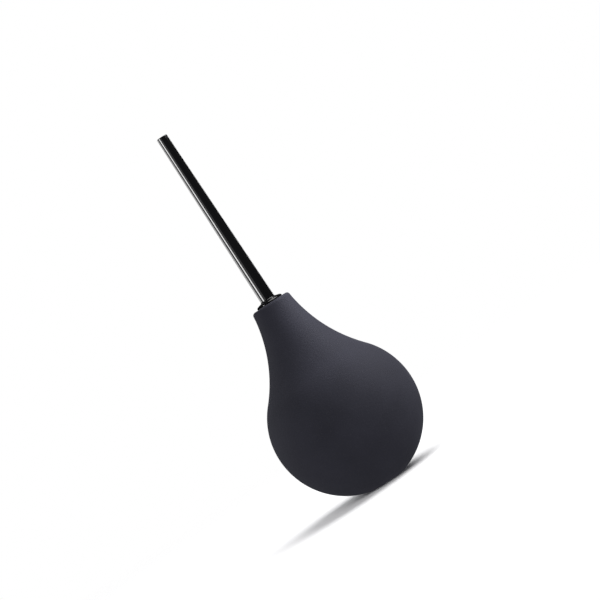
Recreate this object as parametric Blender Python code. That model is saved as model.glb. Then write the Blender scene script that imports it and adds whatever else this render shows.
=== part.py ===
"""A pear-shaped dust blower: a soft squeeze bulb, a screwed-in tapered nozzle and an air inlet valve.

The blower stands upright on its base. The origin is the centre of the base, +Z runs up the
common axis of the bulb and the nozzle, and every piece is turned about that axis.
"""

import math

import bmesh
import bpy
from mathutils import Matrix, Vector
from mathutils.geometry import intersect_sphere_sphere_2d

MM = 0.001

# Clearance kept between pieces that touch on the real blower.
GAP = 0.3 * MM

# The bulb: a ball that runs up through a hollow shoulder into a short neck.
BALL_RADIUS = 29.95 * MM
BALL_HEIGHT = 28.9 * MM
FOOT_RADIUS = 5.8 * MM
SHOULDER_RADIUS = 58.0 * MM
NECK_RADIUS = 8.25 * MM
NECK_TOP = 81.4 * MM
RIM_ROUND = 1.3 * MM
WALL = 2.4 * MM
FLOOR_TOP = 3.9 * MM
COLLAR_BOTTOM = 69.0 * MM
COLLAR_DEPTH_INSIDE = 3.0 * MM

# The threaded bush in the neck.
BUSH_RADIUS = 5.1 * MM
BUSH_LEAD = 0.6 * MM
BARB_RADIUS = 5.7 * MM
BARB_LENGTH = 1.2 * MM
BARB_HEIGHTS = (71.6 * MM, 75.6 * MM)
BUSH_BORE_RADIUS = 3.5 * MM
SEAL_POCKET_RADIUS = 4.4 * MM
SEAL_POCKET_DEPTH = 1.2 * MM

# The rounded right-hand thread between the bush and the nozzle's foot.
THREAD_PITCH = 2.0 * MM
THREAD_DEPTH = 0.5 * MM
THREAD_RUNOUT = 1.0 * MM
THREAD_CLEARANCE = 0.35 * MM
THREAD_ROWS_PER_TURN = 6
FEMALE_THREAD = (70.6 * MM, 79.0 * MM)
MALE_THREAD = (71.6 * MM, 78.2 * MM)
MALE_RADIUS = 2.9 * MM
FEMALE_RADIUS = MALE_RADIUS + THREAD_CLEARANCE

# The nozzle.
SPIGOT_BOTTOM = 71.0 * MM
SPIGOT_LEAD = 0.5 * MM
FLANGE_RADIUS = 5.5 * MM
FLANGE_EDGE_ROUND = 0.7 * MM
FLANGE_EDGE_HEIGHT = 0.85 * MM
FLANGE_HEIGHT = 1.35 * MM
TUBE_FOOT_RADIUS = 3.0 * MM
TUBE_TIP_RADIUS = 2.25 * MM
TIP_HEIGHT = 157.0 * MM
TIP_ROUND = 0.25 * MM
AIRWAY_FOOT_RADIUS = 1.5 * MM
AIRWAY_TIP_RADIUS = 1.1 * MM

# The O-ring under the flange.
SEAL_RING_RADIUS = 3.65 * MM
SEAL_CORD_RADIUS = 0.45 * MM

# The inlet valve in the base: its plug, flap and cage.
HOLE_RADIUS = 3.5 * MM
COUNTERBORE_RADIUS = 4.8 * MM
COUNTERBORE_DEPTH = 1.8 * MM
PLATE_BOTTOM = 0.3 * MM
PLATE_ROUND = 0.3 * MM
DISH_RADIUS = 3.0 * MM
DISH_DEPTH = 0.3 * MM
SEAT_FLANGE_RADIUS = 5.0 * MM
SEAT_FLANGE_THICKNESS = 1.2 * MM
LAND_RADII = (2.6 * MM, 3.9 * MM)
LAND_HEIGHT = 0.6 * MM
INLET_HOLES = 4
INLET_HOLE_RADIUS = 0.65 * MM
INLET_CIRCLE_RADIUS = 1.7 * MM
FLAP_RADIUS = 3.6 * MM
FLAP_THICKNESS = 0.8 * MM
FLAP_CROWN = 0.2 * MM
FLAP_TRAVEL = 1.2 * MM
CAGE_WALL = 0.8 * MM
CAGE_ROOF = 0.7 * MM
CAGE_WINDOWS = 4
CAGE_WINDOW_WIDTH = 2.2 * MM
CAGE_HUB_RADIUS = 1.3 * MM
CAGE_SKIRT = 1.2 * MM

# Heights that follow from the sizes above.
FLANGE_BOTTOM = NECK_TOP + GAP
SEAL_POCKET_FLOOR = NECK_TOP - SEAL_POCKET_DEPTH
PLATE_TOP = COUNTERBORE_DEPTH - GAP
SEAT_FLANGE_BOTTOM = FLOOR_TOP + GAP
SEAT_TOP = SEAT_FLANGE_BOTTOM + SEAT_FLANGE_THICKNESS
LAND_TOP = SEAT_TOP + LAND_HEIGHT
FLAP_BOTTOM = LAND_TOP + GAP
CAGE_BOTTOM = SEAT_TOP + GAP
CAGE_ROOF_BOTTOM = FLAP_BOTTOM + FLAP_THICKNESS + FLAP_CROWN + FLAP_TRAVEL + GAP

BULB_SIDES = 48
SMALL_SIDES = 32
HOLE_SIDES = 12
SHARP_EDGE = math.radians(35)
MERGE_DISTANCE = 0.001 * MM


def clear_scene():
    for thing in list(bpy.data.objects):
        bpy.data.objects.remove(thing, do_unlink=True)


def finish(name, colour, roughness, metallic=0.0):
    """A plain surface of one colour."""
    material = bpy.data.materials.new(name)
    material.use_nodes = True
    shader = material.node_tree.nodes["Principled BSDF"]
    shader.inputs["Base Color"].default_value = (*colour, 1.0)
    shader.inputs["Roughness"].default_value = roughness
    shader.inputs["Metallic"].default_value = metallic
    return material


def empty(name, height):
    """The axis that moving pieces hang on."""
    axis = bpy.data.objects.new(name, None)
    axis.location.z = height
    axis.empty_display_type = "SINGLE_ARROW"
    axis.empty_display_size = 10 * MM
    bpy.context.scene.collection.objects.link(axis)
    return axis


def place(name, form, material, height, parent=None):
    """Makes an object of a bmesh drawn about the height given, in world coordinates."""
    bmesh.ops.recalc_face_normals(form, faces=form.faces)
    bmesh.ops.translate(form, verts=form.verts, vec=(0, 0, -height))
    mesh = bpy.data.meshes.new(name)
    form.to_mesh(mesh)
    form.free()
    mesh.shade_smooth()
    mesh.set_sharp_from_angle(angle=SHARP_EDGE)
    if material is not None:
        mesh.materials.append(material)
    piece = bpy.data.objects.new(name, mesh)
    bpy.context.scene.collection.objects.link(piece)
    piece.location.z = height
    if parent is not None:
        piece.parent = parent
        piece.location.z -= parent.location.z
    return piece


def arc(centre, radius, start, end, steps):
    """The points of a round stretch of an outline, from one angle in radians to another."""
    angles = (start + (end - start) * step / steps for step in range(steps + 1))
    return [(centre[0] + radius * math.cos(a), centre[1] + radius * math.sin(a)) for a in angles]


def heading(start, end):
    """The angle of the line from one point to another, from 0 to a full turn."""
    return math.atan2(end[1] - start[1], end[0] - start[0]) % math.tau


def turned(outline, sides):
    """A bmesh turned about Z from an outline of (radius, height) points.

    An outline that starts on the axis is left open there, and any other is closed.
    """
    form = bmesh.new()
    section = [form.verts.new((radius, 0, height)) for radius, height in outline]
    pairs = list(zip(section, section[1:]))
    if outline[0][0] > 0:
        pairs.append((section[-1], section[0]))
    edges = [form.edges.new(pair) for pair in pairs]
    bmesh.ops.spin(
        form,
        geom=section + edges,
        axis=(0, 0, 1),
        cent=(0, 0, 0),
        steps=sides,
        angle=math.tau,
        use_merge=True,
    )
    bmesh.ops.remove_doubles(form, verts=form.verts, dist=MERGE_DISTANCE)
    return form


def thread_rows(radius, span):
    """The plain land that a thread is cut on, as outline points from its lower end up."""
    low, high = span
    rows = math.ceil((high - low) / THREAD_PITCH * THREAD_ROWS_PER_TURN)
    return [(radius, low + (high - low) * row / rows) for row in range(rows + 1)]


def cut_thread(form, radius, span):
    """Waves a plain land into a rounded right-hand thread that fades out at both ends."""
    low, high = span
    for vertex in form.verts:
        reach = math.hypot(vertex.co.x, vertex.co.y)
        if abs(reach - radius) > MERGE_DISTANCE or not low < vertex.co.z < high:
            continue
        fade = min(1, (vertex.co.z - low) / THREAD_RUNOUT, (high - vertex.co.z) / THREAD_RUNOUT)
        phase = math.tau * vertex.co.z / THREAD_PITCH - math.atan2(vertex.co.y, vertex.co.x)
        stretch = 1 + THREAD_DEPTH / 2 * fade * math.cos(phase) / reach
        vertex.co.x *= stretch
        vertex.co.y *= stretch


def barb(root, crest, low, allowance=0.0):
    """A retaining rib, sloped below to go in and square above to hold, or the groove that takes it."""
    high = low + BARB_LENGTH
    tip = [(crest, high)]
    if allowance:
        tip.append((crest, high + allowance))
    return [(root, low), *tip, (root, high + allowance)]


def cut_with(piece, cutter):
    """Cuts a helper solid out of a piece, and leaves the helper out of the model."""
    cutter.hide_render = True
    cutter.display_type = "WIRE"
    cut = piece.modifiers.new("cut", "BOOLEAN")
    cut.operation = "DIFFERENCE"
    cut.solver = "EXACT"
    cut.object = cutter


def shoulder_centre():
    """The centre of the shoulder's hollow arc, which touches the ball and ends at the neck's rim."""
    rim = Vector((NECK_RADIUS, NECK_TOP - RIM_ROUND))
    ball = Vector((0, BALL_HEIGHT))
    meets = intersect_sphere_sphere_2d(rim, SHOULDER_RADIUS, ball, BALL_RADIUS + SHOULDER_RADIUS)
    return max(meets, key=lambda point: point.x)


def bulb_outside():
    """The bulb's outer outline, from the edge of its flat foot up to its rim."""
    ball = (0, BALL_HEIGHT)
    rise = BALL_RADIUS - BALL_HEIGHT
    foot_round = (BALL_RADIUS**2 - BALL_HEIGHT**2 - FOOT_RADIUS**2) / (2 * rise)
    foot = (FOOT_RADIUS, foot_round)
    foot_end = heading(ball, foot) - math.tau
    hollow = shoulder_centre()
    shoulder_start = heading(ball, hollow)
    rim_start = (NECK_RADIUS, NECK_TOP - RIM_ROUND)
    rim_centre = (NECK_RADIUS - RIM_ROUND, NECK_TOP - RIM_ROUND)
    return [
        *arc(foot, foot_round, -math.pi / 2, foot_end, 2),
        *arc(ball, BALL_RADIUS, foot_end, 0, 10)[1:],
        *arc(ball, BALL_RADIUS, 0, shoulder_start, 7)[1:],
        *arc(hollow, SHOULDER_RADIUS, shoulder_start + math.pi, heading(hollow, rim_start), 8)[1:],
        *arc(rim_centre, RIM_ROUND, 0, math.pi / 2, 4)[1:],
    ]


def bulb_inside():
    """The bulb's inner outline, from its rim down through the neck and the air chamber to its floor."""
    ball = (0, BALL_HEIGHT)
    bore = BUSH_RADIUS + GAP
    hollow = shoulder_centre()
    hollow_radius = SHOULDER_RADIUS + WALL
    collar_end = COLLAR_BOTTOM - COLLAR_DEPTH_INSIDE
    collar_angle = math.pi + math.asin((hollow[1] - collar_end) / hollow_radius)
    shoulder_end = heading(ball, hollow)
    floor_angle = -math.asin((BALL_HEIGHT - FLOOR_TOP) / (BALL_RADIUS - WALL))
    grooves = []
    for height in reversed(BARB_HEIGHTS):
        grooves += reversed(barb(bore, BARB_RADIUS + GAP, height, GAP))
    return [
        (bore, NECK_TOP),
        *grooves,
        (bore, COLLAR_BOTTOM),
        *arc(hollow, hollow_radius, collar_angle, shoulder_end + math.pi, 6),
        *arc(ball, BALL_RADIUS - WALL, shoulder_end, floor_angle, 13)[1:],
    ]


def make_bulb(material):
    base = [
        (HOLE_RADIUS, FLOOR_TOP),
        (HOLE_RADIUS, COUNTERBORE_DEPTH),
        (COUNTERBORE_RADIUS, COUNTERBORE_DEPTH),
        (COUNTERBORE_RADIUS, 0),
    ]
    form = turned(base + bulb_outside() + bulb_inside(), BULB_SIDES)
    return place("bulb", form, material, 0)


def make_neck_insert(material):
    barbs = []
    for height in BARB_HEIGHTS:
        barbs += barb(BUSH_RADIUS, BARB_RADIUS, height)
    outline = [
        (BUSH_BORE_RADIUS, COLLAR_BOTTOM),
        (BUSH_RADIUS - BUSH_LEAD, COLLAR_BOTTOM),
        (BUSH_RADIUS, COLLAR_BOTTOM + BUSH_LEAD),
        *barbs,
        (BUSH_RADIUS, NECK_TOP),
        (SEAL_POCKET_RADIUS, NECK_TOP),
        (SEAL_POCKET_RADIUS, SEAL_POCKET_FLOOR),
        (BUSH_BORE_RADIUS, SEAL_POCKET_FLOOR),
        (BUSH_BORE_RADIUS, FEMALE_THREAD[1]),
        *reversed(thread_rows(FEMALE_RADIUS, FEMALE_THREAD)),
        (BUSH_BORE_RADIUS, FEMALE_THREAD[0]),
    ]
    form = turned(outline, SMALL_SIDES)
    cut_thread(form, FEMALE_RADIUS, FEMALE_THREAD)
    return place("neck_insert", form, material, COLLAR_BOTTOM)


def make_nozzle(material, parent):
    """One moulding: the tapered tube, the domed flange at its foot and the threaded spigot below."""
    edge_centre = (FLANGE_RADIUS - FLANGE_EDGE_ROUND, FLANGE_BOTTOM + FLANGE_EDGE_HEIGHT - FLANGE_EDGE_ROUND)
    tip_centre = (TUBE_TIP_RADIUS - TIP_ROUND, TIP_HEIGHT - TIP_ROUND)
    outline = [
        (AIRWAY_FOOT_RADIUS, SPIGOT_BOTTOM),
        (MALE_RADIUS - SPIGOT_LEAD, SPIGOT_BOTTOM),
        *thread_rows(MALE_RADIUS, MALE_THREAD),
        (MALE_RADIUS, FLANGE_BOTTOM),
        (FLANGE_RADIUS, FLANGE_BOTTOM),
        *arc(edge_centre, FLANGE_EDGE_ROUND, 0, math.radians(75), 3),
        (TUBE_FOOT_RADIUS, FLANGE_BOTTOM + FLANGE_HEIGHT),
        *arc(tip_centre, TIP_ROUND, 0, math.pi / 2, 3),
        (AIRWAY_TIP_RADIUS, TIP_HEIGHT),
    ]
    form = turned(outline, SMALL_SIDES)
    cut_thread(form, MALE_RADIUS, MALE_THREAD)
    return place("nozzle", form, material, FLANGE_BOTTOM, parent)


def make_nozzle_seal(material, parent):
    """The O-ring in the bush's pocket, round the spigot and under the flange."""
    centre = (SEAL_RING_RADIUS, NECK_TOP - SEAL_CORD_RADIUS)
    section = arc(centre, SEAL_CORD_RADIUS, 0, math.tau, 10)[:-1]
    return place("nozzle_seal", turned(section, SMALL_SIDES), material, FLANGE_BOTTOM, parent)


def inlet_hole_cutter():
    """The round pins that cut the inlet holes, on a circle about the axis."""
    form = bmesh.new()
    length = 2 * SEAT_TOP
    for hole in range(INLET_HOLES):
        turn = Matrix.Rotation(math.tau * hole / INLET_HOLES, 4, "Z")
        place_pin = turn @ Matrix.Translation((INLET_CIRCLE_RADIUS, 0, 0))
        bmesh.ops.create_cone(
            form,
            cap_ends=True,
            segments=HOLE_SIDES,
            radius1=INLET_HOLE_RADIUS,
            radius2=INLET_HOLE_RADIUS,
            depth=2 * length,
            matrix=place_pin,
        )
    return place("inlet_hole_cutter", form, None, 0)


def make_valve_seat(material, parent):
    """The plug that grips the wall of the base between a plate outside and a flange inside."""
    stem = HOLE_RADIUS - GAP
    plate = COUNTERBORE_RADIUS - GAP
    outline = [
        (0, PLATE_BOTTOM + DISH_DEPTH),
        (DISH_RADIUS, PLATE_BOTTOM + DISH_DEPTH),
        (DISH_RADIUS, PLATE_BOTTOM),
        (plate - PLATE_ROUND, PLATE_BOTTOM),
        (plate, PLATE_BOTTOM + PLATE_ROUND),
        (plate, PLATE_TOP),
        (stem, PLATE_TOP),
        (stem, SEAT_FLANGE_BOTTOM),
        (SEAT_FLANGE_RADIUS, SEAT_FLANGE_BOTTOM),
        (SEAT_FLANGE_RADIUS, SEAT_TOP),
        (LAND_RADII[1], SEAT_TOP),
        (LAND_RADII[1], LAND_TOP),
        (LAND_RADII[0], LAND_TOP),
        (LAND_RADII[0], SEAT_TOP),
        (0, SEAT_TOP),
    ]
    seat = place("valve_seat", turned(outline, SMALL_SIDES), material, 0, parent)
    cut_with(seat, inlet_hole_cutter())
    return seat


def make_valve_flap(material, parent):
    """The rubber disc that lies over the seat's raised land."""
    outline = [
        (0, FLAP_BOTTOM),
        (FLAP_RADIUS, FLAP_BOTTOM),
        (FLAP_RADIUS, FLAP_BOTTOM + FLAP_THICKNESS),
        (0, FLAP_BOTTOM + FLAP_THICKNESS + FLAP_CROWN),
    ]
    return place("valve_flap", turned(outline, SMALL_SIDES), material, FLAP_BOTTOM, parent)


def cage_window_cutter():
    """The bars that cut a ring of windows through the cage's roof and the top of its wall."""
    form = bmesh.new()
    reach = 2 * SEAT_FLANGE_RADIUS
    low = CAGE_BOTTOM + CAGE_SKIRT
    height = 2 * (CAGE_ROOF_BOTTOM - low)
    size = Matrix.Diagonal((reach - CAGE_HUB_RADIUS, CAGE_WINDOW_WIDTH, height, 1))
    middle = Matrix.Translation(((reach + CAGE_HUB_RADIUS) / 2, 0, low + height / 2))
    for window in range(CAGE_WINDOWS):
        turn = Matrix.Rotation(math.tau * (window + 0.5) / CAGE_WINDOWS, 4, "Z")
        bmesh.ops.create_cube(form, size=1, matrix=turn @ middle @ size)
    return place("cage_window_cutter", form, None, 0)


def make_valve_cage(material, parent):
    """The windowed cap that stands on the seat and stops the flap."""
    inner = SEAT_FLANGE_RADIUS - CAGE_WALL
    roof = CAGE_ROOF_BOTTOM + CAGE_ROOF
    outline = [
        (0, CAGE_ROOF_BOTTOM),
        (inner, CAGE_ROOF_BOTTOM),
        (inner, CAGE_BOTTOM),
        (SEAT_FLANGE_RADIUS, CAGE_BOTTOM),
        (SEAT_FLANGE_RADIUS, roof),
        (0, roof),
    ]
    cage = place("valve_cage", turned(outline, SMALL_SIDES), material, CAGE_BOTTOM, parent)
    cut_with(cage, cage_window_cutter())
    return cage


def build():
    clear_scene()
    soft_black = finish("soft_charcoal_rubber", (0.035, 0.035, 0.042), 0.6)
    gloss_black = finish("gloss_black_plastic", (0.008, 0.008, 0.009), 0.12)
    hard_black = finish("matt_black_plastic", (0.02, 0.02, 0.022), 0.45)
    seal_rubber = finish("seal_rubber", (0.012, 0.012, 0.012), 0.7)
    flap_rubber = finish("flap_rubber", (0.45, 0.43, 0.38), 0.5)

    squeeze = empty("base_push_axis", 0)
    flap_lift = empty("flap_lift_axis", FLAP_BOTTOM)
    flap_lift.parent = squeeze
    screw = empty("nozzle_screw_axis", FLANGE_BOTTOM)

    make_bulb(soft_black)
    make_neck_insert(hard_black)
    make_nozzle(gloss_black, screw)
    make_nozzle_seal(seal_rubber, screw)
    make_valve_seat(hard_black, squeeze)
    make_valve_flap(flap_rubber, flap_lift)
    make_valve_cage(hard_black, squeeze)


build()
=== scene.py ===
"""Looks of the dust blower: its fine surfaces, its materials, the studio and the camera."""

import math

import bmesh
import bpy
from mathutils import Matrix, Vector, noise


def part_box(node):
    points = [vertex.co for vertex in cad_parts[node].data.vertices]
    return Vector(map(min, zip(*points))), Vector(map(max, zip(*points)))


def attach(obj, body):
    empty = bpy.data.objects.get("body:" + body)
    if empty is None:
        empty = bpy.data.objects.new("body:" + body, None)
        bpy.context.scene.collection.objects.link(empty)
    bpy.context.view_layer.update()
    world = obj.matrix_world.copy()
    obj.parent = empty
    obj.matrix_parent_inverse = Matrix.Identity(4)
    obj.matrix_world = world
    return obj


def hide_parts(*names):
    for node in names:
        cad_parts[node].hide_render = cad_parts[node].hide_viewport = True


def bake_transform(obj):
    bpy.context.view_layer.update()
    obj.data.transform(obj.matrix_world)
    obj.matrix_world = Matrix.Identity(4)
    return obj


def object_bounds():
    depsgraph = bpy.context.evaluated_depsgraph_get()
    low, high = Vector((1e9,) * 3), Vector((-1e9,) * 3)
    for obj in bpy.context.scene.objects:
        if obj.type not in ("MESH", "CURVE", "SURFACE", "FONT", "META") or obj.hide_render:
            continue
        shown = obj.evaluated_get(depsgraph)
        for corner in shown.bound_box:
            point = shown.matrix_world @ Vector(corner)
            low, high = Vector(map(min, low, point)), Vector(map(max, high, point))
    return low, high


MM = 0.001
QUARTER_TURN = math.pi / 2

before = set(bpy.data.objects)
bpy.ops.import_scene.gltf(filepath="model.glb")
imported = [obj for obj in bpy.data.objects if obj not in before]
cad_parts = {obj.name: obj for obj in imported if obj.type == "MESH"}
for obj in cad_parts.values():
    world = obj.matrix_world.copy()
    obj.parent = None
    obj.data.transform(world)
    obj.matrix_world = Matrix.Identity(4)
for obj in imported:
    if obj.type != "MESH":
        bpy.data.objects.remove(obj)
CAD_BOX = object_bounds()

BULB_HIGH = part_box("bulb")[1]
BUSH_LOW, BUSH_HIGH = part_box("neck_insert")
NOZZLE_LOW, NOZZLE_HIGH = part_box("nozzle")
SEAL_LOW, SEAL_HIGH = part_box("nozzle_seal")
SEAT_LOW, SEAT_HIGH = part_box("valve_seat")
FLAP_LOW, FLAP_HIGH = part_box("valve_flap")
CAGE_LOW, CAGE_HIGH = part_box("valve_cage")

# The bulb's outline. It lies just inside the CAD solid, so that the mould line stays in its box.
MOULD_LINE_HEIGHT = 0.05 * MM
BALL_RADIUS = BULB_HIGH.x - MOULD_LINE_HEIGHT
BALL_HEIGHT = 28.9 * MM
FOOT_RADIUS = 5.8 * MM
SHOULDER_RADIUS = 58.0 * MM
NECK_RADIUS = 8.2 * MM
NECK_TOP = BULB_HIGH.z
RIM_ROUND = 1.3 * MM
WALL = 2.3 * MM
FLOOR_TOP = 3.9 * MM
COLLAR_BOTTOM = BUSH_LOW.z
COLLAR_DEPTH_INSIDE = 3.0 * MM
FOOT_HOLE_RADIUS = 3.5 * MM
FOOT_RECESS_RADIUS = 4.8 * MM
FOOT_RECESS_DEPTH = 1.8 * MM
EDGE_ROUND = 0.2 * MM
NECK_BORE_RADIUS = 5.4 * MM

# A mould line on each side of the bulb: millimetres across it, and its height as a share of the whole.
MOULD_LINE = ((-0.32, 0), (-0.2, 0.15), (-0.1, 0.7), (0, 1), (0.1, 0.7), (0.2, 0.15), (0.32, 0))
MOULD_LINE_REACH = MOULD_LINE[-1][0] * MM
MOULD_LINE_SPREAD = math.radians(2.4)
MOULD_LINE_FOOT_FADE = 2 * MM
MOULD_LINE_RIM_FADE = 0.5 * MM

# The soft skin's slow unevenness: its depth, its cycles to a metre, and how far out from the foot it
# takes to reach its depth.
SKIN_DRIFT = 0.12 * MM
SKIN_DRIFT_SCALE = 45
SKIN_DRIFT_FADE = 6 * MM

BUSH_RADIUS = 5.1 * MM
BUSH_LEAD = 0.6 * MM
BARB_RADIUS = BUSH_HIGH.x
BARB_LENGTH = 1.2 * MM
BARB_HEIGHTS = (71.6 * MM, 75.6 * MM)
BUSH_BORE_RADIUS = 3.5 * MM
SEAL_POCKET_RADIUS = 4.4 * MM
SEAL_POCKET_DEPTH = 1.2 * MM

THREAD_PITCH = 2.0 * MM
THREAD_DEPTH = 0.5 * MM
THREAD_RUNOUT = 1.0 * MM
FEMALE_THREAD = (70.6 * MM, 79.0 * MM)
MALE_THREAD = (71.6 * MM, 78.2 * MM)
MALE_RADIUS = 2.9 * MM
FEMALE_RADIUS = 3.25 * MM

SPIGOT_LEAD = 0.5 * MM
FLANGE_RADIUS = NOZZLE_HIGH.x
FLANGE_BOTTOM = NECK_TOP + 0.05 * MM
FLANGE_TOP = 82.8 * MM
FLANGE_EDGE_ROUND = 0.85 * MM
FLANGE_EDGE_TOP = 82.4 * MM
FLANGE_FOOT_ROUND = 0.1 * MM
FLANGE_SLOPE = math.radians(15)
TUBE_FOOT_RADIUS = 3.0 * MM
TUBE_FOOT_FILLET = 0.4 * MM
TUBE_TIP_RADIUS = 2.25 * MM
TIP_ROUND = 0.3 * MM
AIRWAY_FOOT_RADIUS = 1.5 * MM
AIRWAY_TIP_RADIUS = 1.1 * MM
AIRWAY_CHAMFER = 0.15 * MM

PLATE_RADIUS = 4.5 * MM
PLATE_TOP = 1.5 * MM
STEM_RADIUS = 3.2 * MM
DISH_RADIUS = 3.0 * MM
DISH_DEPTH = 0.3 * MM
SEAT_FLANGE_BOTTOM = 4.2 * MM
SEAT_TOP = 5.4 * MM
LAND_RADII = (2.6 * MM, 3.9 * MM)
INLET_HOLES = 4
INLET_HOLE_RADIUS = 0.65 * MM
INLET_CIRCLE_RADIUS = 1.7 * MM
FLAP_CROWN = 0.2 * MM
CAGE_WALL = 0.8 * MM
CAGE_ROOF = 0.7 * MM
CAGE_WINDOWS = 4
CAGE_WINDOW_WIDTH = 2.2 * MM
CAGE_HUB_RADIUS = 1.3 * MM
CAGE_SKIRT = 1.2 * MM
SMALL_ROUND = 0.12 * MM

# Turned pieces that are solid in the middle keep a pinhole of this radius, so that no face shrinks
# to nothing on the axis.
AXIS = 0.02 * MM

# How finely the meshes are drawn: points round a piece, and steps along a stretch of its outline.
BULB_SIDES = 128
SMALL_SIDES = 96
HOLE_SIDES = 24
FOOT_STEPS = 8
LOWER_BALL_STEPS = 36
UPPER_BALL_STEPS = 26
SHOULDER_STEPS = 34
RIM_STEPS = 8
INNER_SHOULDER_STEPS = 20
INNER_BALL_STEPS = 36
NECK_BORE_STEPS = 6
EDGE_STEPS = 4
CORNER_STEPS = 3
FLANGE_EDGE_STEPS = 8
FILLET_STEPS = 6
TIP_STEPS = 6
TUBE_STEPS = 24
AIRWAY_STEPS = 12
SEAL_STEPS = 24
THREAD_STEPS_PER_TURN = 20

SHARP_EDGE = math.radians(40)
WELD = 0.0005 * MM
LAND_TOLERANCE = 0.001 * MM


# ---------------------------------------------------------------------------
# Outlines
# ---------------------------------------------------------------------------


def arc(centre, radius, start, end, steps):
    """The points of a round stretch of an outline, from one angle in radians to another."""
    angles = (start + (end - start) * step / steps for step in range(steps + 1))
    return [(centre[0] + radius * math.cos(a), centre[1] + radius * math.sin(a)) for a in angles]


def heading(start, end):
    """The angle of the line from one point to another, from 0 to a full turn."""
    return math.atan2(end[1] - start[1], end[0] - start[0]) % math.tau


def straight(start, end, steps):
    """Evenly spaced points on a straight stretch, both ends left out."""
    shares = (step / steps for step in range(1, steps))
    return [(start[0] + (end[0] - start[0]) * s, start[1] + (end[1] - start[1]) * s) for s in shares]


def eased(corners, radius):
    """A closed outline of corner points, with each corner rounded to about the radius."""
    most_of_half = 0.45
    points = []
    for before, corner, after in zip(corners[-1:] + corners[:-1], corners, corners[1:] + corners[:1]):
        middle = Vector(corner)
        back = Vector(before) - middle
        ahead = Vector(after) - middle
        reach = min(radius, back.length * most_of_half, ahead.length * most_of_half)
        start = middle + back.normalized() * reach
        end = middle + ahead.normalized() * reach
        for step in range(CORNER_STEPS + 1):
            share = step / CORNER_STEPS
            leg_in = start.lerp(middle, share)
            leg_out = middle.lerp(end, share)
            points.append(tuple(leg_in.lerp(leg_out, share)))
    return points


def shoulder_centre():
    """The centre of the shoulder's hollow arc, which touches the ball and ends at the neck's rim."""
    rim = Vector((NECK_RADIUS, NECK_TOP - RIM_ROUND))
    ball = Vector((0, BALL_HEIGHT))
    line = ball - rim
    reach = BALL_RADIUS + SHOULDER_RADIUS
    along = (SHOULDER_RADIUS**2 - reach**2 + line.length_squared) / (2 * line.length)
    aside = math.sqrt(SHOULDER_RADIUS**2 - along**2)
    direction = line.normalized()
    return rim + direction * along + Vector((-direction.y, direction.x)) * aside


def bulb_outside():
    """From the edge of the flat foot up over the ball and the shoulder to the top of the rim."""
    ball = (0, BALL_HEIGHT)
    rise = BALL_RADIUS - BALL_HEIGHT
    foot_round = (BALL_RADIUS**2 - BALL_HEIGHT**2 - FOOT_RADIUS**2) / (2 * rise)
    foot = (FOOT_RADIUS, foot_round)
    foot_end = heading(ball, foot) - math.tau
    hollow = shoulder_centre()
    shoulder_start = heading(ball, hollow)
    rim_start = (NECK_RADIUS, NECK_TOP - RIM_ROUND)
    rim_centre = (NECK_RADIUS - RIM_ROUND, NECK_TOP - RIM_ROUND)
    shoulder_arc = (shoulder_start + math.pi, heading(hollow, rim_start))
    return [
        *arc(foot, foot_round, -QUARTER_TURN, foot_end, FOOT_STEPS),
        *arc(ball, BALL_RADIUS, foot_end, 0, LOWER_BALL_STEPS)[1:],
        *arc(ball, BALL_RADIUS, 0, shoulder_start, UPPER_BALL_STEPS)[1:],
        *arc(hollow, SHOULDER_RADIUS, *shoulder_arc, SHOULDER_STEPS)[1:],
        *arc(rim_centre, RIM_ROUND, 0, QUARTER_TURN, RIM_STEPS)[1:],
    ]


def bulb_inside():
    """From the rim's inner edge down through the neck and the air chamber, and out by the foot's hole."""
    ball = (0, BALL_HEIGHT)
    hollow = shoulder_centre()
    hollow_radius = SHOULDER_RADIUS + WALL
    collar_end = COLLAR_BOTTOM - COLLAR_DEPTH_INSIDE
    collar_angle = math.pi + math.asin((hollow[1] - collar_end) / hollow_radius)
    shoulder_end = heading(ball, hollow)
    floor_angle = -math.asin((BALL_HEIGHT - FLOOR_TOP) / (BALL_RADIUS - WALL))
    rim_edge = (NECK_BORE_RADIUS + EDGE_ROUND, NECK_TOP - EDGE_ROUND)
    foot_edge = (FOOT_RECESS_RADIUS + EDGE_ROUND, EDGE_ROUND)
    return [
        *arc(rim_edge, EDGE_ROUND, QUARTER_TURN, math.pi, EDGE_STEPS),
        *straight((NECK_BORE_RADIUS, NECK_TOP), (NECK_BORE_RADIUS, COLLAR_BOTTOM), NECK_BORE_STEPS),
        (NECK_BORE_RADIUS, COLLAR_BOTTOM),
        *arc(hollow, hollow_radius, collar_angle, shoulder_end + math.pi, INNER_SHOULDER_STEPS),
        *arc(ball, BALL_RADIUS - WALL, shoulder_end, floor_angle, INNER_BALL_STEPS)[1:],
        (FOOT_HOLE_RADIUS, FLOOR_TOP),
        (FOOT_HOLE_RADIUS, FOOT_RECESS_DEPTH),
        (FOOT_RECESS_RADIUS, FOOT_RECESS_DEPTH),
        *arc(foot_edge, EDGE_ROUND, math.pi, 3 * QUARTER_TURN, EDGE_STEPS),
    ]


def thread_rows(radius, span):
    """The plain land that a thread is cut on, from its lower end up."""
    low, high = span
    rows = math.ceil((high - low) / THREAD_PITCH * THREAD_STEPS_PER_TURN)
    return [(radius, low + (high - low) * row / rows) for row in range(rows + 1)]


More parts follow.
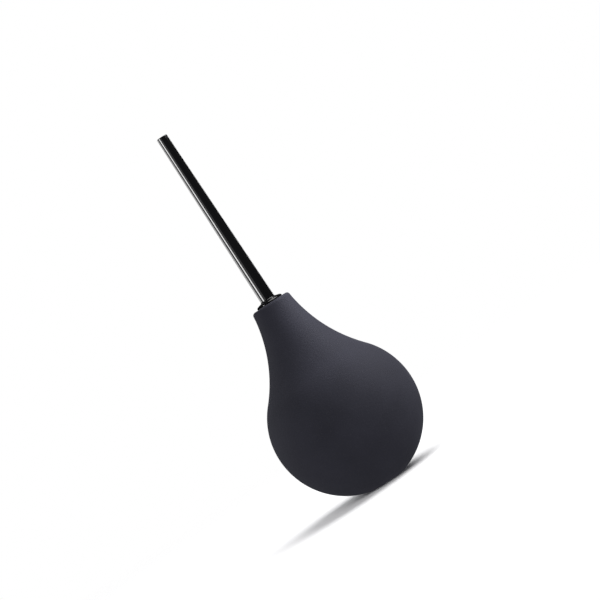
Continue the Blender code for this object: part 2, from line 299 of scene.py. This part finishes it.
def tube_outline(parting):
    """The tapered tube with its airway, from inside the flange up to the tip and back down."""
    tip = NOZZLE_HIGH.z
    foot = (TUBE_FOOT_RADIUS, FLANGE_TOP + TUBE_FOOT_FILLET)
    end = (TUBE_TIP_RADIUS, tip - TIP_ROUND)
    tip_centre = (TUBE_TIP_RADIUS - TIP_ROUND, tip - TIP_ROUND)
    airway_end = (AIRWAY_TIP_RADIUS, tip - AIRWAY_CHAMFER)
    return [
        (TUBE_FOOT_RADIUS, parting[1]),
        foot,
        *straight(foot, end, TUBE_STEPS),
        *arc(tip_centre, TIP_ROUND, 0, QUARTER_TURN, TIP_STEPS),
        (AIRWAY_TIP_RADIUS + AIRWAY_CHAMFER, tip),
        airway_end,
        *straight(airway_end, parting, AIRWAY_STEPS),
        parting,
    ]


def flange_outline(parting):
    """The threaded spigot and the flange, from the airway's lower end up to the tube's foot."""
    foot_centre = (FLANGE_RADIUS - FLANGE_FOOT_ROUND, FLANGE_BOTTOM + FLANGE_FOOT_ROUND)
    edge_centre = (FLANGE_RADIUS - FLANGE_EDGE_ROUND, FLANGE_EDGE_TOP - FLANGE_EDGE_ROUND)
    fillet_centre = (TUBE_FOOT_RADIUS + TUBE_FOOT_FILLET, FLANGE_TOP + TUBE_FOOT_FILLET)
    edge_end = QUARTER_TURN - FLANGE_SLOPE
    return [
        (AIRWAY_FOOT_RADIUS, NOZZLE_LOW.z),
        (MALE_RADIUS - SPIGOT_LEAD, NOZZLE_LOW.z),
        *thread_rows(MALE_RADIUS, MALE_THREAD),
        (MALE_RADIUS, FLANGE_BOTTOM),
        *arc(foot_centre, FLANGE_FOOT_ROUND, -QUARTER_TURN, 0, EDGE_STEPS),
        *arc(edge_centre, FLANGE_EDGE_ROUND, 0, edge_end, FLANGE_EDGE_STEPS),
        *arc(fillet_centre, TUBE_FOOT_FILLET, math.pi + edge_end, math.pi, FILLET_STEPS),
        (TUBE_FOOT_RADIUS - TUBE_FOOT_FILLET, parting[1]),
        parting,
    ]


# ---------------------------------------------------------------------------
# Turned meshes
# ---------------------------------------------------------------------------


def mesh_object(name, points, faces):
    """A welded, smooth object, with its sharp edges kept sharp."""
    mesh = bpy.data.meshes.new(name)
    mesh.from_pydata(points, [], faces)
    form = bmesh.new()
    form.from_mesh(mesh)
    bmesh.ops.remove_doubles(form, verts=form.verts, dist=WELD)
    bmesh.ops.recalc_face_normals(form, faces=form.faces)
    form.to_mesh(mesh)
    form.free()
    mesh.shade_smooth()
    mesh.set_sharp_from_angle(angle=SHARP_EDGE)
    return linked(name, mesh)


def linked(name, data):
    """An object in the scene, at the origin, made from a mesh, a light or a camera."""
    made = bpy.data.objects.new(name, data)
    bpy.context.scene.collection.objects.link(made)
    return made


def plain_object(name, form):
    """An object made straight from a bmesh, which is then freed."""
    mesh = bpy.data.meshes.new(name)
    form.to_mesh(mesh)
    form.free()
    return linked(name, mesh)


def round_columns(sides):
    """Evenly spaced columns, each an angle with nothing across it."""
    return [(math.tau * side / sides, 0.0, 0.0) for side in range(sides)]


def seamed_columns(sides):
    """Columns with a mould line at +X and another at -X, and even ones between."""
    columns = []
    for seam in (0.0, math.pi):
        columns += [(seam, across * MM, height) for across, height in MOULD_LINE]
        start = seam + MOULD_LINE_SPREAD
        span = math.pi - 2 * MOULD_LINE_SPREAD
        count = sides // 2
        columns += [(start + span * (side + 0.5) / count, 0.0, 0.0) for side in range(count)]
    return columns


def thread_wave(height, angle, low, high):
    """How far a rounded right-hand thread stands out from its land; it fades out at both ends."""
    fade = min(1, (height - low) / THREAD_RUNOUT, (high - height) / THREAD_RUNOUT)
    return THREAD_DEPTH / 2 * fade * math.cos(math.tau * height / THREAD_PITCH - angle)


def turned_point(row, column, thread):
    """Where a row of an outline meets a column, with the mould line or the thread added."""
    radius, height, *share = row
    angle, across, line = column
    if across:
        swing = across / max(radius, MOULD_LINE_REACH)
        angle += max(-MOULD_LINE_SPREAD, min(MOULD_LINE_SPREAD, swing))
    reach = radius + line * MOULD_LINE_HEIGHT * (share[0] if share else 0)
    if thread:
        land, low, high = thread
        if abs(radius - land) < LAND_TOLERANCE and low < height < high:
            reach += thread_wave(height, angle, low, high)
    return (reach * math.cos(angle), reach * math.sin(angle), height)


def turn(name, rows, columns, thread=None):
    """A mesh turned about Z from a closed outline.

    A row is (radius, height) or (radius, height, share), where share says how much of a mould line it
    carries. thread is (land radius, low, high) of a stretch that a thread is cut on.
    """
    points = [turned_point(row, column, thread) for row in rows for column in columns]
    wide = len(columns)
    faces = []
    for row in range(len(rows)):
        below = row * wide
        above = (row + 1) % len(rows) * wide
        for column in range(wide):
            beside = (column + 1) % wide
            faces.append((below + column, below + beside, above + beside, above + column))
    return mesh_object(name, points, faces)


def cut_with(piece, cutter):
    """Cuts a helper solid out of a piece, then removes the helper."""
    cut = piece.modifiers.new("cut", "BOOLEAN")
    cut.operation = "DIFFERENCE"
    cut.solver = "EXACT"
    cut.object = cutter
    graph = bpy.context.evaluated_depsgraph_get()
    result = bpy.data.meshes.new_from_object(piece.evaluated_get(graph))
    piece.modifiers.clear()
    piece.data = result
    piece.data.name = piece.name
    piece.data.shade_smooth()
    piece.data.set_sharp_from_angle(angle=SHARP_EDGE)
    bpy.data.objects.remove(cutter, do_unlink=True)


# ---------------------------------------------------------------------------
# Pieces
# ---------------------------------------------------------------------------


def soften(piece):
    """Gives the soft skin the slight, slow unevenness of a rubber moulding, always inwards."""
    for vertex in piece.data.vertices:
        point = vertex.co
        drift = 0.5 + 0.5 * noise.noise(point * SKIN_DRIFT_SCALE)
        reach = math.hypot(point.x, point.y)
        if reach > FOOT_RADIUS and point.z < NECK_TOP - 2 * RIM_ROUND:
            share = min(1, (reach - FOOT_RADIUS) / SKIN_DRIFT_FADE)
            scale = 1 - SKIN_DRIFT * drift * share / reach
            point.x *= scale
            point.y *= scale


def make_bulb(material):
    rows = []
    for radius, height in bulb_outside():
        foot_share = min(1, max(0, (radius - FOOT_RADIUS) / MOULD_LINE_FOOT_FADE))
        rim_share = min(1, max(0, (NECK_TOP - height) / MOULD_LINE_RIM_FADE))
        rows.append((radius, height, foot_share * rim_share))
    rows += bulb_inside()
    bulb = turn("bulb_shell", rows, seamed_columns(BULB_SIDES))
    soften(bulb)
    bulb.data.materials.append(material)
    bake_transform(bulb)
    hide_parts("bulb")
    return bulb


def finish_piece(piece, material, body, node):
    piece.data.materials.append(material)
    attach(piece, body)
    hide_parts(node)
    return piece


def barb(root, crest, low):
    """A retaining rib, sloped below to go in and square above to hold."""
    return [(root, low), (crest, low + BARB_LENGTH), (root, low + BARB_LENGTH)]


def make_bush(material):
    corners = [
        (BUSH_BORE_RADIUS, COLLAR_BOTTOM),
        (BUSH_RADIUS - BUSH_LEAD, COLLAR_BOTTOM),
        (BUSH_RADIUS, COLLAR_BOTTOM + BUSH_LEAD),
    ]
    for height in BARB_HEIGHTS:
        corners += barb(BUSH_RADIUS, BARB_RADIUS, height)
    pocket_floor = NECK_TOP - SEAL_POCKET_DEPTH
    corners += [
        (BUSH_RADIUS, BUSH_HIGH.z),
        (SEAL_POCKET_RADIUS, BUSH_HIGH.z),
        (SEAL_POCKET_RADIUS, pocket_floor),
        (BUSH_BORE_RADIUS, pocket_floor),
    ]
    rows = eased(corners, SMALL_ROUND)
    rows.append((BUSH_BORE_RADIUS, FEMALE_THREAD[1]))
    rows += reversed(thread_rows(FEMALE_RADIUS, FEMALE_THREAD))
    rows.append((BUSH_BORE_RADIUS, FEMALE_THREAD[0]))
    bush = turn("neck_bush", rows, round_columns(SMALL_SIDES), (FEMALE_RADIUS, *FEMALE_THREAD))
    return finish_piece(bush, material, "root", "neck_insert")


def make_nozzle(material):
    """One moulding in two meshes, which meet inside the flange, so that each has lights of its own."""
    parting = (AIRWAY_FOOT_RADIUS, FLANGE_TOP - TUBE_FOOT_FILLET)
    columns = round_columns(SMALL_SIDES)
    tube = turn("nozzle_tube", tube_outline(parting), columns)
    flange = turn("nozzle_flange", flange_outline(parting), columns, (MALE_RADIUS, *MALE_THREAD))
    for piece in (tube, flange):
        finish_piece(piece, material, "nozzle", "nozzle")
    return tube, flange


def make_seal(material):
    cord = (SEAL_HIGH.z - SEAL_LOW.z) / 2
    centre = (SEAL_HIGH.x - cord, SEAL_LOW.z + cord)
    section = arc(centre, cord, 0, math.tau, SEAL_STEPS)[:-1]
    seal = turn("seal_ring", section, round_columns(SMALL_SIDES))
    return finish_piece(seal, material, "nozzle_carrier", "nozzle_seal")


def inlet_pins():
    """The pins that cut the inlet holes, on a circle about the axis."""
    form = bmesh.new()
    for hole in range(INLET_HOLES):
        spin = Matrix.Rotation(math.tau * hole / INLET_HOLES, 4, "Z")
        bmesh.ops.create_cone(
            form,
            cap_ends=True,
            segments=HOLE_SIDES,
            radius1=INLET_HOLE_RADIUS,
            radius2=INLET_HOLE_RADIUS,
            depth=4 * SEAT_TOP,
            matrix=spin @ Matrix.Translation((INLET_CIRCLE_RADIUS, 0, 0)),
        )
    return plain_object("inlet_pins", form)


def cage_bars():
    """The bars that cut a ring of windows through the cage's roof and the top of its wall."""
    form = bmesh.new()
    reach = 2 * CAGE_HIGH.x
    low = CAGE_LOW.z + CAGE_SKIRT
    height = 2 * (CAGE_HIGH.z - low)
    size = Matrix.Diagonal((reach - CAGE_HUB_RADIUS, CAGE_WINDOW_WIDTH, height, 1))
    middle = Matrix.Translation(((reach + CAGE_HUB_RADIUS) / 2, 0, low + height / 2))
    for window in range(CAGE_WINDOWS):
        spin = Matrix.Rotation(math.tau * (window + 0.5) / CAGE_WINDOWS, 4, "Z")
        bmesh.ops.create_cube(form, size=1, matrix=spin @ middle @ size)
    return plain_object("cage_bars", form)


def make_seat(material):
    bottom = SEAT_LOW.z
    corners = [
        (AXIS, bottom + DISH_DEPTH),
        (DISH_RADIUS, bottom + DISH_DEPTH),
        (DISH_RADIUS, bottom),
        (PLATE_RADIUS, bottom),
        (PLATE_RADIUS, PLATE_TOP),
        (STEM_RADIUS, PLATE_TOP),
        (STEM_RADIUS, SEAT_FLANGE_BOTTOM),
        (SEAT_HIGH.x, SEAT_FLANGE_BOTTOM),
        (SEAT_HIGH.x, SEAT_TOP),
        (LAND_RADII[1], SEAT_TOP),
        (LAND_RADII[1], SEAT_HIGH.z),
        (LAND_RADII[0], SEAT_HIGH.z),
        (LAND_RADII[0], SEAT_TOP),
        (AXIS, SEAT_TOP),
    ]
    seat = turn("inlet_seat", eased(corners, SMALL_ROUND), round_columns(SMALL_SIDES))
    cut_with(seat, inlet_pins())
    return finish_piece(seat, material, "base_valve", "valve_seat")


def make_flap(material):
    corners = [
        (AXIS, FLAP_LOW.z),
        (FLAP_HIGH.x, FLAP_LOW.z),
        (FLAP_HIGH.x, FLAP_HIGH.z - FLAP_CROWN),
        (AXIS, FLAP_HIGH.z),
    ]
    flap = turn("inlet_disc", eased(corners, SMALL_ROUND), round_columns(SMALL_SIDES))
    return finish_piece(flap, material, "inlet_flap", "valve_flap")


def make_cage(material):
    inner = CAGE_HIGH.x - CAGE_WALL
    roof = CAGE_HIGH.z - CAGE_ROOF
    corners = [
        (AXIS, roof),
        (inner, roof),
        (inner, CAGE_LOW.z),
        (CAGE_HIGH.x, CAGE_LOW.z),
        (CAGE_HIGH.x, CAGE_HIGH.z),
        (AXIS, CAGE_HIGH.z),
    ]
    cage = turn("inlet_cage", eased(corners, SMALL_ROUND), round_columns(SMALL_SIDES))
    cut_with(cage, cage_bars())
    return finish_piece(cage, material, "base_valve", "valve_cage")


# ---------------------------------------------------------------------------
# Materials
# ---------------------------------------------------------------------------

CHARCOAL = (0.0337, 0.0339, 0.0455)
CHARCOAL_CLOUD = (0.0404, 0.0406, 0.0545)
CHARCOAL_FLECK = (0.075, 0.075, 0.088)
SHEEN_TINT = (0.75, 0.78, 0.95, 1.0)
PIANO_BLACK = (0.0035, 0.0035, 0.004)
PIANO_BLACK_FLOW = (0.006, 0.006, 0.0068)
SATIN_BLACK = (0.012, 0.012, 0.013)
SATIN_BLACK_CLOUD = (0.02, 0.02, 0.021)
NITRILE = (0.009, 0.009, 0.009)
NITRILE_SMEAR = (0.015, 0.015, 0.015)
SILICONE = (0.46, 0.43, 0.36)
SILICONE_TALC = (0.58, 0.56, 0.5)
FLOOR_COLOUR = (0.83, 0.83, 0.83, 1.0)

# Features to a metre along X, Y and Z. Those of the nozzle are drawn out along its axis.
FLOW_SCALE = (420, 420, 30)
SCUFF_SCALE = (2600, 2600, 60)


class Surface:
    """A Principled material and the few kinds of node that the finishes here are made of."""

    def __init__(self, name):
        self.material = bpy.data.materials.new(name)
        self.material.use_nodes = True
        self.tree = self.material.node_tree
        self.shader = self.tree.nodes["Principled BSDF"]
        self.place = self.tree.nodes.new("ShaderNodeTexCoord").outputs["Object"]

    def set(self, **sockets):
        """Sets numbers or colours that are the same all over, on the shader's own sockets."""
        for name, value in sockets.items():
            self.shader.inputs[name.replace("_", " ")].default_value = value

    def feed(self, socket, value):
        """Links a pattern to one of the shader's sockets."""
        self.tree.links.new(value, self.shader.inputs[socket])

    def stretched(self, scale):
        """The object's coordinates, in metres, scaled along each axis."""
        mapping = self.tree.nodes.new("ShaderNodeMapping")
        mapping.inputs["Scale"].default_value = scale
        self.tree.links.new(self.place, mapping.inputs["Vector"])
        return mapping.outputs["Vector"]

    def noise(self, scale, detail=2.0, place=None):
        """Cloudy variation with features about 1 / scale metres across, from 0 to 1."""
        node = self.tree.nodes.new("ShaderNodeTexNoise")
        node.inputs["Scale"].default_value = scale
        node.inputs["Detail"].default_value = detail
        self.tree.links.new(place or self.place, node.inputs["Vector"])
        return node.outputs["Fac"]

    def between(self, value, low, high, start=0.3, end=0.7):
        """Maps a value between start and end onto low to high."""
        node = self.tree.nodes.new("ShaderNodeMapRange")
        node.inputs["From Min"].default_value = start
        node.inputs["From Max"].default_value = end
        node.inputs["To Min"].default_value = low
        node.inputs["To Max"].default_value = high
        self.tree.links.new(value, node.inputs["Value"])
        return node.outputs["Result"]

    def mixed(self, share, first, second):
        """One colour turning into another as share goes from 0 to 1."""
        node = self.tree.nodes.new("ShaderNodeMix")
        node.data_type = "RGBA"
        self.tree.links.new(share, node.inputs["Factor"])
        for socket, colour in ((node.inputs["A"], first), (node.inputs["B"], second)):
            if isinstance(colour, tuple):
                socket.default_value = (*colour, 1.0)
            else:
                self.tree.links.new(colour, socket)
        return node.outputs["Result"]

    def sum(self, first, second):
        """Two patterns added together."""
        node = self.tree.nodes.new("ShaderNodeMath")
        node.operation = "ADD"
        for socket, value in zip(node.inputs, (first, second)):
            self.tree.links.new(value, socket)
        return node.outputs["Value"]

    def bump(self, height, depth, strength=1.0, under=None):
        """A fine relief of the depth given, in metres, on top of another one."""
        node = self.tree.nodes.new("ShaderNodeBump")
        node.inputs["Strength"].default_value = strength
        node.inputs["Distance"].default_value = depth
        self.tree.links.new(height, node.inputs["Height"])
        if under is not None:
            self.tree.links.new(under, node.inputs["Normal"])
        return node.outputs["Normal"]


def soft_touch_rubber():
    """Matt charcoal rubber with a cool tint, cloudy by a few millimetres and finely grained."""
    surface = Surface("soft_touch_rubber")
    surface.set(Specular_IOR_Level=0.14, Sheen_Weight=0.05, Sheen_Roughness=0.4, Sheen_Tint=SHEEN_TINT)
    clouds = surface.noise(scale=70, detail=5)
    grain = surface.noise(scale=2600, detail=2)
    base = surface.mixed(surface.between(clouds, low=0, high=1), CHARCOAL, CHARCOAL_CLOUD)
    fleck = surface.between(grain, low=0, high=0.35, start=0.55, end=0.8)
    surface.feed("Base Color", surface.mixed(fleck, base, CHARCOAL_FLECK))
    rough = surface.between(clouds, low=0.68, high=0.78)
    surface.feed("Roughness", surface.sum(rough, surface.between(grain, low=-0.03, high=0.03)))
    waves = surface.bump(surface.noise(scale=260, detail=3), depth=0.05 * MM, strength=0.35)
    sand = surface.bump(surface.noise(scale=1100, detail=1), depth=0.08 * MM, strength=0.9, under=waves)
    surface.feed("Normal", surface.bump(grain, depth=0.03 * MM, strength=0.5, under=sand))
    return surface.material


def polished_black_plastic():
    """Deep black, glossy moulding, with a faint lengthwise flow and hairline scuffs."""
    surface = Surface("polished_black_plastic")
    surface.set(IOR=1.5, Coat_Weight=0.3, Coat_Roughness=0.03)
    flow = surface.noise(scale=1, detail=3, place=surface.stretched(FLOW_SCALE))
    surface.feed("Base Color", surface.mixed(flow, PIANO_BLACK, PIANO_BLACK_FLOW))
    scuffs = surface.noise(scale=1, detail=2, place=surface.stretched(SCUFF_SCALE))
    rough = surface.between(scuffs, low=0.095, high=0.125)
    surface.feed("Roughness", surface.sum(rough, surface.between(flow, low=0, high=0.03)))
    surface.feed("Normal", surface.bump(flow, depth=0.02 * MM, strength=0.08))
    return surface.material


def satin_black_plastic():
    """Eroded-tool black plastic of the hidden fittings."""
    surface = Surface("satin_black_plastic")
    surface.set(IOR=1.49)
    clouds = surface.noise(scale=420, detail=3)
    grain = surface.noise(scale=7000, detail=2)
    surface.feed("Base Color", surface.mixed(clouds, SATIN_BLACK, SATIN_BLACK_CLOUD))
    surface.feed("Roughness", surface.between(grain, low=0.34, high=0.5))
    surface.feed("Normal", surface.bump(grain, depth=0.012 * MM, strength=0.6))
    return surface.material


def seal_rubber():
    """Nitrile rubber, matt with a trace of grease."""
    surface = Surface("seal_rubber_black")
    surface.set(IOR=1.52)
    smear = surface.noise(scale=900, detail=3)
    surface.feed("Base Color", surface.mixed(smear, NITRILE, NITRILE_SMEAR))
    surface.feed("Roughness", surface.between(smear, low=0.3, high=0.62))
    surface.feed("Normal", surface.bump(surface.noise(scale=6000), depth=0.008 * MM, strength=0.5))
    return surface.material


def natural_silicone():
    """Milky silicone of the valve disc, with a dusting of talc."""
    surface = Surface("natural_silicone")
    surface.set(IOR=1.43, Subsurface_Weight=0.3, Subsurface_Scale=1.0 * MM)
    surface.set(Subsurface_Radius=(1.0, 0.9, 0.75))
    talc = surface.noise(scale=1500, detail=4)
    surface.feed("Base Color", surface.mixed(talc, SILICONE, SILICONE_TALC))
    surface.feed("Roughness", surface.between(talc, low=0.38, high=0.6))
    surface.feed("Normal", surface.bump(surface.noise(scale=5000), depth=0.01 * MM, strength=0.5))
    return surface.material


# ---------------------------------------------------------------------------
# Studio
# ---------------------------------------------------------------------------

CAMERA_ROLL = math.radians(33.2)
FRAME_WIDTH = 229.3 * MM
LENS = 140
SENSOR = 36
NEAREST_SEEN = 50 * MM
# How far the middle of the blower lies from the middle of the picture.
MIDDLE_RIGHT = -9.9 * MM
MIDDLE_UP = -3.5 * MM

# The floor, in metres: its width, and how far from its middle it starts to fade and is gone.
FLOOR_SIZE = 3.0
FLOOR_SOLID = 0.1
FLOOR_GONE = 0.5

WHITE = (1.0, 1.0, 1.0)
WORLD_COLOUR = (0.99, 0.99, 1.02)
WORLD_FILL = 0.48
WORLD_REFLECTED = 0.02
WORLD_SEEN = 1.0

# Each light's bearing and height in degrees, its distance, width and length in metres, and its
# radiance; then, for one, the point that it faces. A bearing of 0 is on the camera's side, 90 at +X.
MAIN_LIGHTS = {
    "key": (88, 30, 0.9, (0.5, 0.4), 8.2),
    "edge": (-118, 10, 0.7, (0.4, 0.5), 1.1),
}
MATT_LIGHTS = {
    "bounce": (-8, -12, 0.6, (0.4, 0.4), 0.5),
    "back": (183, 20, 0.9, (0.4, 0.4), 3.6),
    "neck": (88, 40, 0.06, (0.05, 0.05), 6.5, (0.008, 0, 0.078)),
}
TUBE_LIGHTS = {
    "stripe": (-66, 8, 0.6, (0.2, 0.45), 14.0),
    "glow": (-36, 8, 0.6, (0.24, 0.45), 0.7),
    "rim": (-132, 4, 0.6, (0.7, 0.45), 1.7),
    "side": (150, 8, 0.6, (0.1, 0.45), 3.0),
    "low_strip": (-25, -25, 0.5, (0.07, 0.3), 4.0),
}
FLANGE_LIGHTS = {
    "flange_top": (74, 66, 0.5, (0.4, 0.5), 3.6),
    "flange_left": (-62, 30, 0.6, (0.15, 0.2), 8.0),
}
NOZZLE_LIGHTS = {"table": (0, -90, 0.13, (1.2, 1.2), 0.35)}
FLOOR_LIGHTS = {
    "overhead": (90, 58, 0.9, (0.9, 0.9), 5.0),
    "low": (-25, 24, 0.7, (0.9, 0.5), 3.0),
}


def make_camera():
    """A level camera that looks along +Y, rolled so that the blower leans to the left."""
    right = Vector((math.cos(CAMERA_ROLL), 0, -math.sin(CAMERA_ROLL)))
    up = Vector((math.sin(CAMERA_ROLL), 0, math.cos(CAMERA_ROLL)))
    back = right.cross(up)
    low, high = CAD_BOX
    aim = (low + high) / 2 - right * MIDDLE_RIGHT - up * MIDDLE_UP
    camera = linked("camera", bpy.data.cameras.new("camera"))
    camera.data.lens = LENS
    camera.data.sensor_width = SENSOR
    camera.data.clip_start = NEAREST_SEEN
    facing = Matrix((right, up, back)).transposed().to_4x4()
    camera.matrix_world = Matrix.Translation(aim + back * FRAME_WIDTH * LENS / SENSOR) @ facing
    bpy.context.scene.camera = camera


def softbox(name, bearing, height, distance, size, radiance, middle=None):
    """A soft light that faces the blower's middle, or the point given."""
    low, high = CAD_BOX
    middle = Vector(middle) if middle else (low + high) / 2
    swing = math.radians(bearing)
    rise = math.radians(height)
    level = math.cos(rise)
    away = Vector((math.sin(swing) * level, -math.cos(swing) * level, math.sin(rise)))
    lamp = bpy.data.lights.new(name, "AREA")
    lamp.shape = "RECTANGLE"
    lamp.size, lamp.size_y = size
    lamp.energy = radiance * math.pi * size[0] * size[1]
    box = linked(name, lamp)
    box.location = middle + away * distance
    box.rotation_euler = away.to_track_quat("Z", "Y").to_euler()
    box.visible_camera = False
    return box


def light_only(pieces, lights):
    """Keeps lights off everything but the pieces given."""
    receivers = bpy.data.collections.new("lit_by_" + lights[0].name)
    for piece in pieces:
        receivers.objects.link(piece)
    for light in lights:
        light.light_linking.receiver_collection = receivers


def make_lights(pieces, tube, flange, floor):
    """Lights of its own for each finish, as flags would make in a studio.

    The ones on the matt pieces alone don't show in reflections.
    """
    matt = [piece for piece in pieces if piece not in (tube, flange)]
    for table, receivers, reflected in (
        (MAIN_LIGHTS, [*matt, tube], True),
        (MATT_LIGHTS, matt, False),
        (TUBE_LIGHTS, [tube], True),
        (FLANGE_LIGHTS, [flange], True),
        (NOZZLE_LIGHTS, [tube, flange], True),
        (FLOOR_LIGHTS, [floor], True),
    ):
        lights = [softbox(name, *setting) for name, setting in table.items()]
        light_only(receivers, lights)
        for light in lights:
            light.visible_glossy = reflected


def mix_shaders(tree, share, first, second):
    """The first shader where share is 0, and the second where it is 1."""
    node = tree.nodes.new("ShaderNodeMixShader")
    tree.links.new(share, node.inputs["Fac"])
    tree.links.new(first, node.inputs[1])
    tree.links.new(second, node.inputs[2])
    return node.outputs["Shader"]


def make_world():
    """White to the camera, soft fill on matt surfaces, and dark in reflections."""
    world = bpy.data.worlds.new("studio")
    bpy.context.scene.world = world
    world.use_nodes = True
    tree = world.node_tree
    tree.nodes.clear()
    path = tree.nodes.new("ShaderNodeLightPath")
    shades = []
    for strength, colour in (
        (WORLD_FILL, WORLD_COLOUR),
        (WORLD_REFLECTED, WORLD_COLOUR),
        (WORLD_SEEN, WHITE),
    ):
        shade = tree.nodes.new("ShaderNodeBackground")
        shade.inputs["Color"].default_value = (*colour, 1.0)
        shade.inputs["Strength"].default_value = strength
        shades.append(shade.outputs["Background"])
    fill, reflected, backdrop = shades
    lighting = mix_shaders(tree, path.outputs["Is Glossy Ray"], fill, reflected)
    surround = mix_shaders(tree, path.outputs["Is Camera Ray"], lighting, backdrop)
    output = tree.nodes.new("ShaderNodeOutputWorld")
    tree.links.new(surround, output.inputs["Surface"])


def make_floor():
    """A pale floor that fades into the white surround away from the blower, and lights nothing."""
    form = bmesh.new()
    bmesh.ops.create_grid(form, x_segments=1, y_segments=1, size=FLOOR_SIZE / 2)
    floor = plain_object("studio_floor", form)
    surface = Surface("pale_floor")
    surface.set(Roughness=0.9, Specular_IOR_Level=0.1, Base_Color=FLOOR_COLOUR)
    length = surface.tree.nodes.new("ShaderNodeVectorMath")
    length.operation = "LENGTH"
    surface.tree.links.new(surface.place, length.inputs[0])
    fade = surface.between(length.outputs["Value"], low=0, high=1, start=FLOOR_SOLID, end=FLOOR_GONE)
    clear = surface.tree.nodes.new("ShaderNodeBsdfTransparent")
    shown = mix_shaders(surface.tree, fade, surface.shader.outputs["BSDF"], clear.outputs["BSDF"])
    surface.tree.links.new(shown, surface.tree.nodes["Material Output"].inputs["Surface"])
    floor.data.materials.append(surface.material)
    floor.visible_diffuse = False
    floor.visible_glossy = False
    floor.visible_shadow = False
    return floor


def build():
    bpy.context.scene.view_settings.view_transform = "Standard"
    make_camera()
    make_world()
    plastic = satin_black_plastic()
    tube, flange = make_nozzle(polished_black_plastic())
    pieces = [
        tube,
        flange,
        make_bulb(soft_touch_rubber()),
        make_bush(plastic),
        make_seal(seal_rubber()),
        make_seat(plastic),
        make_flap(natural_silicone()),
        make_cage(plastic),
    ]
    make_lights(pieces, tube, flange, make_floor())


build()
